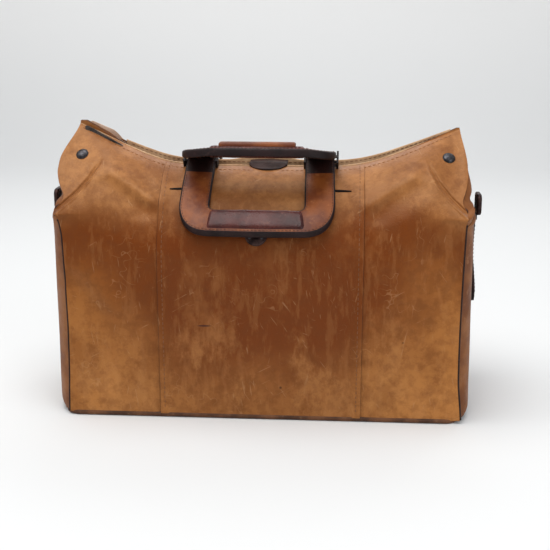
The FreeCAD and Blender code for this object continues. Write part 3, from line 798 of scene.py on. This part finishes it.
def gusset(side, sign):
    """Bulging end wall that folds in at the top to a soft triangle."""
    rows_low, rows_high, columns = 60, 30, 72
    apex_low, apex_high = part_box(f"{side}_tuck")
    apex = Vector((sign * min(abs(apex_low.x), abs(apex_high.x)), 0, apex_high.z - 0.002))
    outline, lean = (0.2105, 0.0032) if sign > 0 else (0.2098, 0.0)
    points = []
    for r in range(rows_low + rows_high):
        q = max(r - rows_low + 1, 0) / rows_high
        z = 0.0045 + (HINGE_Z - 0.0035) * min(r / (rows_low - 1), 1.0)
        for c in range(columns):
            s = sin(pi / 2 * across(c, columns))
            near_base = sqrt(1 - (1 - min(z / 0.013, 1.0)) ** 2)
            full = (1 - abs(s) ** 7) * near_base
            edge = edge_x(z, sign < 0) - 0.0006
            swell = (outline + lean * (1 - z / HINGE_Z) - edge) * full
            pinch = 0.0042 * hump(s, 0.34) * smooth(0.05, 0.16, z)
            wave = noise.noise(Vector((sign * 3, s * 3, z * 14))) * 0.0014 * (1 - s * s)
            place = Vector((sign * (edge + swell - pinch + wave), s * (DEPTH - 0.003), z))
            if q:
                place = fold_in(place, apex, sign, q, abs(s) ** 3)
                lift = 0.004 * sin(pi * min(q * 2.2, 1)) - 0.004 * sin(pi * q)
                place.z += lift * (1 - s * s)
            points.append(place)
    item = sheet_of(f"{side}_gusset_leather", points, rows_low + rows_high, columns, 0.002,
                    [BROWN, EDGE], bevel=0, inward=1)
    placed(item, "leather_brown", "carcass", f"{side}_gusset", f"{side}_tuck")
    for flip, jaw in ((-1, "front_jaw"), (1, "back_jaw")):
        rows, columns = 34, 34
        points = []
        for r in range(rows):
            q = (r / (rows - 1)) ** 1.4
            for c in range(columns):
                t = c / (columns - 1)
                z = HINGE_Z + 0.002 + (crest(sign * HALF_X) - 0.006 - HINGE_Z - 0.002) * t
                x = edge_x(z, sign < 0) - 0.0008
                y = max(outside(-sign * flip * x, z, int(flip > 0)) - 0.0042, 0.0012)
                place = fold_in(Vector((sign * x, flip * y, z)), apex, sign, q, 1 - smooth(0.3, 0.75, t))
                place.z -= 0.006 * sin(pi * q) * sin(pi * t)
                points.append(place)
        fold = sheet_of(f"{side}_{jaw.split('_')[0]}_fold", points, rows, columns, 0.0014, [BROWN, EDGE],
                        bevel=0, inward=0)
        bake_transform(fold)


def corner_welts():
    """Thin dark piping down each corner seam, and round the base."""
    posts = []
    for sx in (-1, 1):
        for sy in (-1, 1):
            path = []
            for z in np.linspace(0.004, HINGE_Z + 0.004, 60):
                x = edge_x(z, sx < 0) + 0.0006
                y = outside(-sx * sy * edge_x(z, sx < 0), z, int(sy > 0)) - 0.0014
                path.append(Vector((sx * x, sy * y, z)))
            posts.append(sweep(f"post_{sx}_{sy}", path, lambda i: rounded(0.0013, 0.0013, 0.0012, 3),
                               WELT, up=Vector((1, 0, 0))))
    item = join("corner_welt_beads", posts)
    placed(item, "leather_brown", "carcass", "corner_welts")

    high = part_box("base_welt")[1]
    corner = 0.013
    dense = spaced([Vector((a, b, 0.0027)) for a, b in rounded(high.x - 0.0026, high.y - 0.0026, corner, 10)],
                   0.006)
    welt = sweep("base_welt_bead", dense, lambda i: rounded(0.0026, 0.0026, 0.0024, 4), BASE, closed=True)
    placed(welt, "leather_brown", "carcass", "base_welt")


def lining():
    """Loose cloth lining."""
    low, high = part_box("lining")
    rows, bottom_rows = 36, 12
    around = rounded(high.x - 0.0012, high.y - 0.0012, 0.022, 8)
    ring = []
    for i, (ax, ay) in enumerate(around):
        bx, by = around[(i + 1) % len(around)]
        steps = max(int(hypot(bx - ax, by - ay) / 0.007), 1)
        ring += [(ax + (bx - ax) * k / steps, ay + (by - ay) * k / steps) for k in range(steps)]
    points = []
    for r in range(bottom_rows):
        share = 0.03 + 0.97 * r / bottom_rows
        points += [Vector((a * share, b * share, low.z + 0.0008)) for a, b in ring]
    for r in range(rows):
        z = low.z + 0.0008 + (high.z - low.z - 0.01) * r / (rows - 1)
        for k, (a, b) in enumerate(ring):
            fold = noise.noise(Vector((a * 38, b * 38, z * 6))) * 0.5 + 0.5
            slack = 0.0035 * fold * smooth(0, 0.05, z)
            room = outside(-a if b > 0 else a, z, int(b > 0)) - 0.0038
            deep = min(abs(b), room) - slack
            points.append(Vector((a - copysign(slack, a), copysign(deep, b), z)))
    faces = grid_faces(bottom_rows + rows, len(ring), closed_columns=True)
    faces.append(tuple(reversed(range(len(ring)))))
    item = new_object("lining_cloth", points, faces, [CANVAS])
    solidified(item, 0.0006, 1)
    apply_modifiers(item)
    remember_rest(fix_normals(item))
    placed(item, "lining_cream", "carcass", "lining")


# ------------------------------------------------------------------ studs and rivets
def dome(radius, tall, rim):
    """Profile of a domed head with a thin rolled rim."""
    profile = [(0.0004, tall)]
    for k in range(1, 9):
        angle = pi / 2 * k / 8
        profile.append((radius * 0.93 * sin(angle), rim + (tall - rim) * cos(angle)))
    return profile + [(radius, rim), (radius, rim * 0.3), (radius * 0.96, 0)]


def wing_studs(side, turn):
    made = []
    low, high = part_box(f"{side}_wing_studs")
    centre_x = (high.x - low.x) / 2 - 0.0064
    z = (low.z + high.z) / 2 + 0.001
    for sign in (-1, 1):
        x = sign * centre_x
        place = side_point(x, z, turn)
        axis = side_normal(x, z, turn)
        made.append(lathe(f"{side}_stud_{sign}", dome(STUD_RADIUS, 0.003, 0.0009), STEEL,
                          place - axis * 0.0001, axis))
    item = join(f"{side}_wing_stud_caps", made)
    placed(item, "steel_dark", f"{side}_jaw", f"{side}_wing_studs")


def small_heads(name, nodes_, places, axis, body):
    made = [lathe(f"{name}_{i}", dome(RIVET_RADIUS, 0.0013, 0.0004), STEEL, place, axis, 20)
            for i, place in enumerate(places)]
    item = join(name, made)
    placed(item, "steel_dark", body, nodes_)


# ------------------------------------------------------------------ handles
class HandleFrame:
    """Place of a point of a handle from (across, reach from the pivot, out of its plane)."""
    def __init__(self, side, sag, bow):
        low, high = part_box(f"{side}_grip")
        self.pivot = Vector(JOINTS[f"{side}_handle_lift"]["pos_m"])
        middle = (low + high) / 2
        self.along = Vector((0, middle.y - self.pivot.y, middle.z - self.pivot.z)).normalized()
        self.out = Vector((1, 0, 0)).cross(self.along)
        if self.out.z < 0:
            self.out = -self.out
        self.sag, self.bow = sag, bow

    def at(self, x, d, n):
        drop = self.sag * max((d - 0.04) / 0.058, 0.0) ** 1.8
        drop += self.bow * smooth(0.04, 0.078, abs(x)) * smooth(0.02, 0.07, d)
        spread = Vector((x * (1 + 0.25 * max(d, 0)), 0, 0))
        return self.pivot + spread + self.along * d + self.out * (n - drop)


def quad(a, b, c, t):
    """Point of a quadratic curve."""
    return tuple((1 - t) ** 2 * p + 2 * t * (1 - t) * q + t * t * r for p, q, r in zip(a, b, c))


def handle_outline():
    """Matching outer and inner outline points of the loop, from the left leg's tail to the right's."""
    outer, inner = [], []
    for k in range(14):
        t = k / 14
        outer.append((-0.075 - 0.0006 * sin(pi * t / 2), -0.003 + 0.062 * t))
        inner.append((-0.0455 - 0.0005 * t, -0.003 + 0.066 * t))
    for k in range(16):
        t = k / 16
        outer.append(quad((-0.0756, 0.059), (-0.0753, 0.095), (-0.047, 0.0974), t))
        inner.append(quad((-0.046, 0.063), (-0.046, 0.0709), (-0.04, 0.0709), t))
    for k in range(17):
        t = k / 16
        outer.append((-0.047 + 0.047 * t, 0.0974 + 0.0006 * sin(pi * t / 2)))
        inner.append((-0.04 + 0.04 * t, 0.0709))
    mirror = [[(-x, d) for x, d in reversed(line[:-1])] for line in (outer, inner)]
    return outer + mirror[0], inner + mirror[1]


def cushion(k, around, power):
    """Point k round a soft-cornered unit square: across the grip, and out of its plane."""
    angle = 2 * pi * k / around
    return (copysign(abs(cos(angle)) ** 0.5, cos(angle)),
            copysign(abs(sin(angle)) ** power, sin(angle)))


def grip_pad(held, body):
    """Second layer of leather along the top of the grip."""
    columns, around = 60, 24
    points = []
    for c in range(columns):
        s = across(c, columns)
        end = sqrt(1 - min(max((abs(s) - 0.94) / 0.07, 0.0), 1.0) ** 2)
        for k in range(around):
            a, b = cushion(k, around, 0.6)
            points.append(held.at(0.0365 * s, GRIP_REACH + 0.0088 * a, 0.0062 + (0.0012 + 0.0024 * end) * b))
    faces = capped_faces(columns, around)
    pad = remember_rest(fix_normals(new_object("rear_grip_pad", points, faces, [LEG])))
    placed(pad, "leather_dark", body)


def handle(side, sag, bow):
    body = f"{side}_handle"
    held = HandleFrame(side, sag, bow)
    outer, inner = handle_outline()
    points = []
    for (ox, od), (ix, id_) in zip(outer, inner):
        cx, cd = (ox + ix) / 2, (od + id_) / 2
        wide = hypot(ox - ix, od - id_) / 2
        ux, ud = (ox - ix) / (2 * wide), (od - id_) / (2 * wide)
        section = rounded(wide, 0.0029 + 0.001 * smooth(0.05, 0.085, cd), 0.0016, 3)
        points += [held.at(cx + ux * a, cd + ud * a, b) for a, b in section]
    ring, count = len(section), len(outer)
    faces = capped_faces(count, ring)
    loop = new_object(f"{side}_handle_leather", points, faces, [LEG, HANDLE_EDGE, LEG_END_SHADE])
    flat_spans = {3, 11}
    for i in range((count - 1) * ring):
        row, k = divmod(i, ring)
        # flat faces of the legs near the pivot take the painted-shade leather
        by_pivot = (outer[row][1] + outer[row + 1][1]) / 2 < 0.019
        loop.data.polygons[i].material_index = (2 if by_pivot else 0) if k in flat_spans else 1
    remember_rest(fix_normals(loop))
    placed(loop, "leather_dark", body, f"{side}_handle_loop")

    columns, around = 80, 40
    points = []
    for c in range(columns):
        s = across(c, columns)
        end = smooth(0.0, 0.05, 1 - abs(s))
        for k in range(around):
            a, b = cushion(k, around, 0.62)
            d = GRIP_REACH + 0.0117 * a
            n = b * (0.0036 + (0.002 + 0.0007 * (1 - s * s)) * end)
            x = s * (0.0455 + 0.0014 * a)
            points.append(held.at(x, d, n + 0.0003 * noise.noise(Vector((x * 90, a, b)))))
    faces = capped_faces(columns, around)
    grip = new_object(f"{side}_grip_sleeve", points, faces, [GRIP])
    remember_rest(fix_normals(grip))
    placed(grip, "leather_dark", body, f"{side}_grip")
    if side == "rear":
        grip_pad(held, body)

    lines = []
    for face in (1, -1):
        for outline, inset in ((outer, 0.0026), (inner, -0.0026)):
            line = []
            for (ox, od), (ix, id_) in zip(outer, inner):
                wide = hypot(ox - ix, od - id_)
                bx, bd = (ox, od) if outline is outer else (ix, id_)
                thick = 0.003 + 0.001 * smooth(0.05, 0.085, (od + id_) / 2)
                place = held.at(bx - (ox - ix) / wide * inset, bd - (od - id_) / wide * inset, face * thick)
                line.append((place, held.out * face))
            lines += [line] if outline is outer else [line[:24], line[-24:]]
        lines.append([(held.at(x, 0.0918, face * 0.0052), held.out * face)
                      for x in np.linspace(-0.0445, 0.0445, 60)])
    thread = stitches(f"{side}_handle_thread", lines, DARK_THREAD, length=2.4 * MM, gap=1.3 * MM,
                      radius=0.28 * MM)
    placed(thread, "leather_dark", body)


def slits_and_tabs(side, turn):
    """Slits in the top panel where the handle's leather tabs go through, drawn as near-black strips of
    painted shade, and the tabs.
    """
    dark, tabs = [], []
    level = CREST_Z - SLIT_DROP
    low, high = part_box(f"{side}_handle_brackets")
    middle = (low.x + high.x) / 2
    for sign in (-1, 1):
        xs = np.linspace(sign * 0.057 + middle / 2, sign * 0.0905 + middle / 2, 24)
        path = [side_point(x, level, turn, -0.0002) for x in xs]
        up = side_normal(xs[0], level, turn)
        taper = [sin(pi * (k + 0.6) / (len(path) + 0.2)) ** 0.35 for k in range(len(path))]
        dark.append(sweep(f"slit_{sign}", path,
                          lambda i: [(a * taper[i], b) for a, b in rounded(0.0016, 0.0007, 0.0005, 2)],
                          SLIT_SHADE, up=up))
        points = []
        rows, columns = 14, 12
        for r in range(rows):
            z = level + 0.0006 + (CREST_Z - 0.003 - level) * r / (rows - 1)
            for c in range(columns):
                x = middle + sign * 0.061 - 0.009 + 0.018 * c / (columns - 1)
                points.append(side_point(x, z, turn, 0.0019))
        tabs.append(sheet_of(f"tab_{sign}", points, rows, columns, 0.0017, [LEG, HANDLE_EDGE], bevel=0.0004))
    for name, items in ((f"{side}_slits", dark), (f"{side}_handle_tabs", tabs)):
        item = join(name, items)
        placed(item, "leather_dark", f"{side}_jaw")


# ------------------------------------------------------------------ closing strap and lock
def closing_strap():
    low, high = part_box("closing_strap")
    centre = (low.x + high.x) / 2
    half = (high.x - low.x) / 2 - 0.0016
    rows, columns = 40, 25
    points = []
    for r in range(rows):
        t = r / (rows - 1)
        for c in range(columns):
            s = across(c, columns)
            tip = 0.01 * s * s + 0.004 * abs(s) ** 8
            y = high.y + (low.y - 0.0015 + tip - high.y) * t
            crown = 0.0012 * (1 - s * s) - 0.0011
            drop = 0.0046 * smooth(MOUTH - 0.004, 0.0015 - low.y, -y) + 0.0012 * smooth(0.016, -0.004, y)
            points.append(Vector((centre + s * half, y, high.z - 0.0002 + crown - drop)))
    item = sheet_of("closing_strap_leather", points, rows, columns, 0.0021, [STRAP, HANDLE_EDGE],
                    bevel=0.0005)
    placed(item, "leather_dark", "closing_strap", "closing_strap")


def lock():
    low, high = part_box("lock_plate")
    centre = (low.x + high.x) / 2
    radius = (high.x - low.x) / 2
    rings = [(0.86, 0.0019), (0.97, 0.0017), (1.0, 0.0012), (1.0, -0.0006)]
    points, arc = [], 29
    for share, out in [(0.02, 0.0019), (0.45, 0.00195)] + rings:
        for k in range(arc):
            angle = pi + pi * k / (arc - 1)
            x = radius * share * cos(angle)
            z = high.z - 0.0006 + radius * share * sin(angle) * 0.97
            points.append(Vector((centre + x, -outside(centre + x, z, 0) - out, z)))
    item = new_object("lock_plate_dark", points, grid_faces(6, arc), [BRONZE])
    solidified(item, 0.0008, -1)
    apply_modifiers(item)
    remember_rest(fix_normals(item))
    placed(item, "steel_dark", "carcass", "lock_plate")
    rl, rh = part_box("lock_rivets")
    level = (rl.z + rh.z) / 2
    small_heads("lock_rivet_heads", "lock_rivets",
                [side_point(x, level, 0, 0.0017) for x in (rl.x + RIVET_RADIUS, rh.x - RIVET_RADIUS)],
                side_normal(centre, level, 0), "carcass")


# ------------------------------------------------------------------ end straps and buckles
def strap_lean(t):
    """How far an end strap stands off the wall, a share t of the way down."""
    return 0.003 * smooth(0.45, 1.0, t) - 0.0007 * sin(pi * min(t * 1.6, 1.0))


def end_pieces(side, sign):
    low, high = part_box(f"{side}_end_strap")
    thick = high.x - low.x
    face = high.x if sign > 0 else -low.x
    rows, columns = 60, 13
    points = []
    for r in range(rows):
        t = r / (rows - 1)
        for c in range(columns):
            s = -sign * across(c, columns)
            tip = 0.011 * (1 - sqrt(max(1 - abs(s) ** 2.2, 0)))
            z = high.z + (low.z + tip - high.z) * t
            x = face + strap_lean(t)
            points.append(Vector((sign * x, s * (high.y - 0.0002), z)))
    item = sheet_of(f"{side}_end_strap_leather", points, rows, columns, thick - 0.0002,
                    [STRAP, HANDLE_EDGE], bevel=0.0005)
    placed(item, "leather_dark", f"{side}_end_strap", f"{side}_end_strap")
    lines = [[(Vector((sign * (face + strap_lean(t) + 0.0001), s * (high.y - 0.0024),
                       high.z + (low.z + 0.008 - high.z) * t)), Vector((sign, 0, 0)))
              for t in np.linspace(0.03, 1, 60)] for s in (-1, 1)]
    thread = stitches(f"{side}_end_strap_thread", lines, DARK_THREAD, length=2.8 * MM, gap=1.3 * MM)
    placed(thread, "leather_dark", f"{side}_end_strap")

    low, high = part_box(f"{side}_buckle")
    wire, deep = 0.00172, (high.x - low.x) / 2 - 0.0001
    centre = (low + high) / 2
    loop = [Vector((centre.x, centre.y + a, centre.z + b))
            for a, b in rounded((high.y - low.y) / 2 - wire, (high.z - low.z) / 2 - wire, 0.0045, 6)]
    buckle = sweep(f"{side}_buckle_frame", spaced(loop, 0.002),
                   lambda i: rounded(wire, deep, 0.0015, 3), BRONZE, closed=True, up=Vector((1, 0, 0)))
    placed(buckle, "steel_dark", "carcass", f"{side}_buckle")


def carried_nodes():
    """Finish of the CAD nodes that show as they are."""
    finishes = {STEEL_CAD: ("handle_brackets", "handle_pins", "frame_bar", "buckle_prong"),
                STRAP_CAD: ("end_tab", "buckle_loop", "strap_anchor"),
                BROWN_CAD: ("base_panel", "base_board")}
    for name, item in frame["nodes"].items():
        for material, words in finishes.items():
            if any(word in name for word in words):
                for place in item.material_slots:
                    place.material = material


# ------------------------------------------------------------------ the whole bag
for side_name, half_turn, leather in (("front", 0, TAN_FRONT), ("back", 1, TAN_BACK)):
    long_side(side_name, half_turn, leather)
    seam_stitches(side_name, half_turn)
    facing(side_name, half_turn)
    wing_studs(side_name, half_turn)
    slits_and_tabs(side_name, half_turn)
wing_strips()
for side_name, outward in (("left", -1), ("right", 1)):
    gusset(side_name, outward)
    end_pieces(side_name, outward)
corner_welts()
lining()
handle("front", 0.0066, 0.0006)
handle("rear", 0.0052, 0.0034)
closing_strap()
lock()
anchor_low, anchor_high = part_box("anchor_rivets")
small_heads("anchor_rivet_heads", "anchor_rivets",
            [Vector((x, (anchor_low.y + anchor_high.y) / 2, (anchor_low.z + anchor_high.z) / 2 - 0.0003))
             for x in (anchor_low.x + RIVET_RADIUS, anchor_high.x - RIVET_RADIUS)],
            Vector((0, 0.4586, 0.8886)), "back_jaw")
carried_nodes()


# ------------------------------------------------------------------ floor, light and camera
def stage():
    material = bpy.data.materials.new("studio_floor")
    material.use_nodes = True
    tree = material.node_tree
    shader = tree.nodes["Principled BSDF"]
    where = node(tree, "TexCoord").outputs["Object"]
    up = node(tree, "SeparateXYZ", Vector=where).outputs[2]
    # painted shade and light: the floor is coloured darker and the backdrop paler from half a metre up,
    # setting the balance of light between them
    tree.links.new(mixed(tree, ramp(tree, up, 0.0, 0.5), (0.735, 0.745, 0.75), (0.92, 0.92, 0.915)),
                   shader.inputs["Base Color"])
    shader.inputs["Roughness"].default_value = 0.9
    shader.inputs["Specular IOR Level"].default_value = 0.2
    depth, reach, wall = 1.5, 0.8, 3.0
    points, faces = [], []
    profile = [(-12.0, 0.0), (depth, 0.0)]
    for k in range(1, 13):
        angle = pi / 2 * k / 12
        profile.append((depth + reach * sin(angle), reach * (1 - cos(angle))))
    profile.append((depth + reach, wall))
    for y, z in profile:
        points += [(-12, y, z), (12, y, z)]
    for k in range(len(profile) - 1):
        faces.append((2 * k, 2 * k + 1, 2 * k + 3, 2 * k + 2))
    floor = new_object("floor", points, faces, [material])


def lamp(name, place, target, size, power, colour=(1, 1, 1)):
    light = bpy.data.lights.new(name, "AREA")
    light.shape = "RECTANGLE"
    light.size, light.size_y = size
    light.energy = power
    light.color = colour
    item = bpy.data.objects.new(name, light)
    item.location = place
    item.rotation_euler = (Vector(target) - Vector(place)).to_track_quat("-Z", "Y").to_euler()
    bpy.context.scene.collection.objects.link(item)


stage()
lamp("key", (-0.35, -0.35, 1.9), (0, 0, 0.1), (1.8, 1.5), 34, (1.0, 0.99, 0.97))
lamp("fill", (1.2, -1.5, 1.0), (0, 0, 0.15), (1.2, 1.0), 9, (0.98, 0.99, 1.0))
lamp("back", (0.3, 1.3, 1.5), (0, 0, 0.2), (1.6, 0.9), 8)
world = bpy.data.worlds.new("studio")
world.use_nodes = True
world.node_tree.nodes["Background"].inputs[0].default_value = (0.97, 0.98, 1.0, 1)
world.node_tree.nodes["Background"].inputs[1].default_value = 0.5
bpy.context.scene.world = world
bpy.context.scene.view_settings.view_transform = "Standard"

CAMERA_TURN, CAMERA_TILT, CAMERA_ROLL = 3.66, 14.6, -0.14
CAMERA_AWAY, CAMERA_LENS = 1.142, 70.2
AIM = Vector((0.0095, 0, 0.1294))
camera_data = bpy.data.cameras.new("camera")
camera_data.lens = CAMERA_LENS
camera_data.sensor_width = 36
camera_data.clip_start, camera_data.clip_end = 0.05, 20
camera = bpy.data.objects.new("camera", camera_data)
turn_angle, tilt_angle = radians(CAMERA_TURN), radians(CAMERA_TILT)
back_way = Vector((sin(turn_angle) * cos(tilt_angle),
                   -cos(turn_angle) * cos(tilt_angle), sin(tilt_angle)))
camera.location = AIM + back_way * CAMERA_AWAY
camera.rotation_mode = "QUATERNION"
camera.rotation_quaternion = ((-back_way).to_track_quat("-Z", "Y")
                              @ Matrix.Rotation(radians(-CAMERA_ROLL), 4, "Z").to_quaternion())
bpy.context.scene.collection.objects.link(camera)
bpy.context.scene.camera = camera
